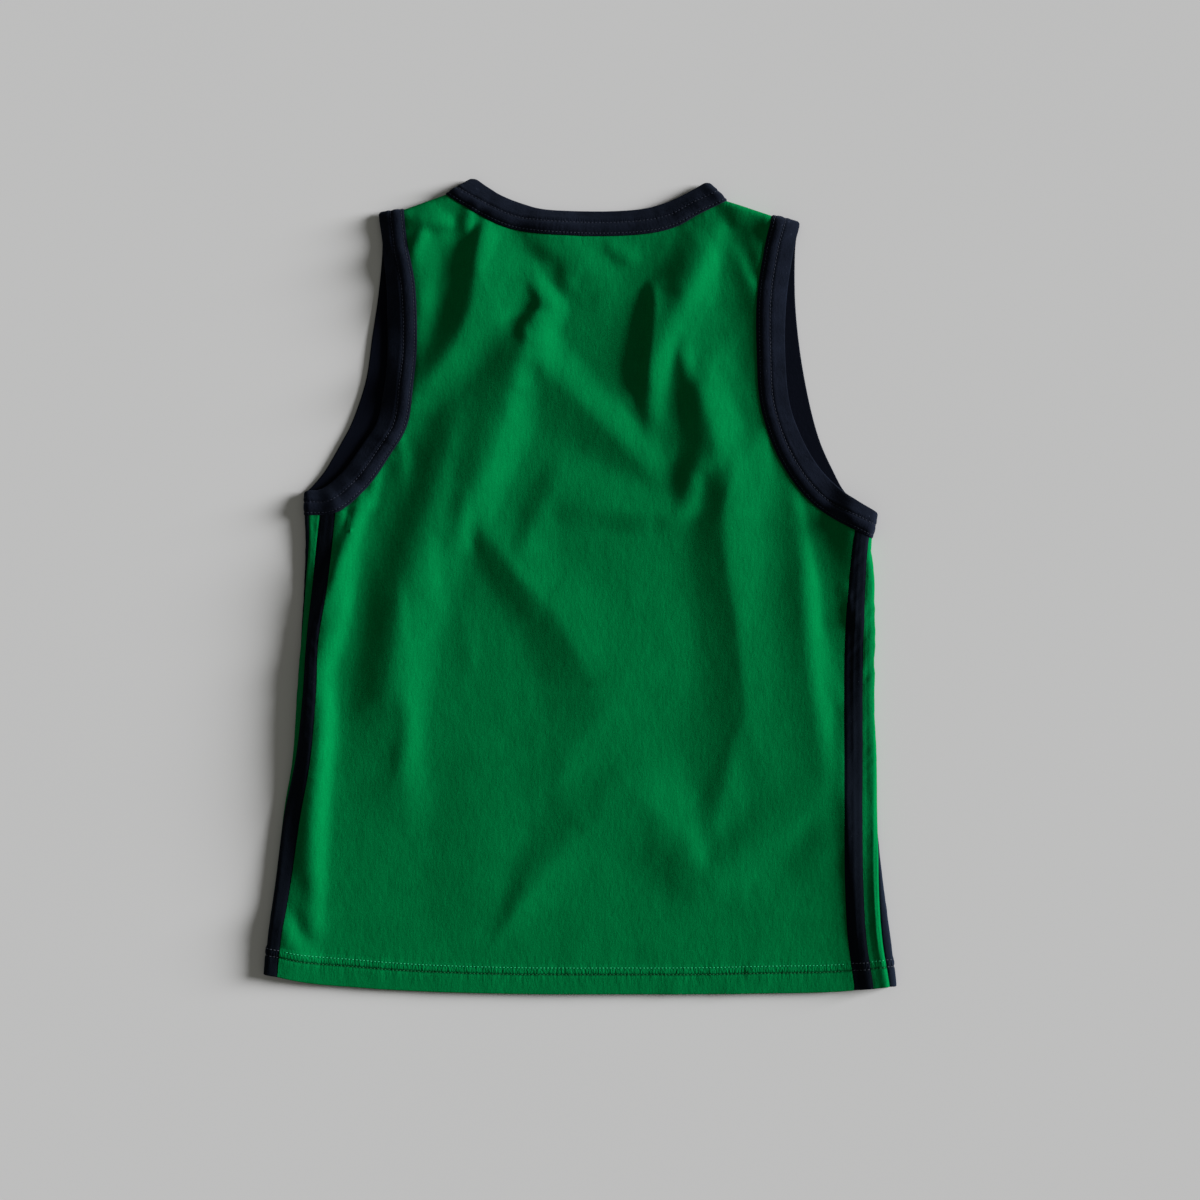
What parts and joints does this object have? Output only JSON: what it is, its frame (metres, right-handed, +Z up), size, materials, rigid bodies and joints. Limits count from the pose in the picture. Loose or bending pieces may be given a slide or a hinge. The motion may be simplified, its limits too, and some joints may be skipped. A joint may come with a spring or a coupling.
{
  "type": "ringer tank top",
  "caption": "Sleeveless jersey top with contrast bindings at neck and armholes and striped sides, laid flat with its back up.",
  "frame": {"origin": "on the surface the garment lies on, under the middle of its bounding box", "axes": "+X to the right seen from above with the back up, +Y from the hem to the neck, +Z up from the surface"},
  "size_m": [0.5317, 0.684, 0.0131],
  "materials": {
    "green_jersey": "matt brushed cotton jersey, green",
    "navy_jersey": "matt cotton jersey, very dark navy"
  },
  "bodies": {
    "root": {"back_panel": "green_jersey", "front_panel": "green_jersey", "side_strip_left": "green_jersey", "side_strip_right": "green_jersey", "back_stripe_left": "navy_jersey", "back_stripe_right": "navy_jersey", "front_stripe_left": "navy_jersey", "front_stripe_right": "navy_jersey", "neck_binding": "navy_jersey", "armhole_binding_left": "navy_jersey", "armhole_binding_right": "navy_jersey"}
  },
  "joints": []
}
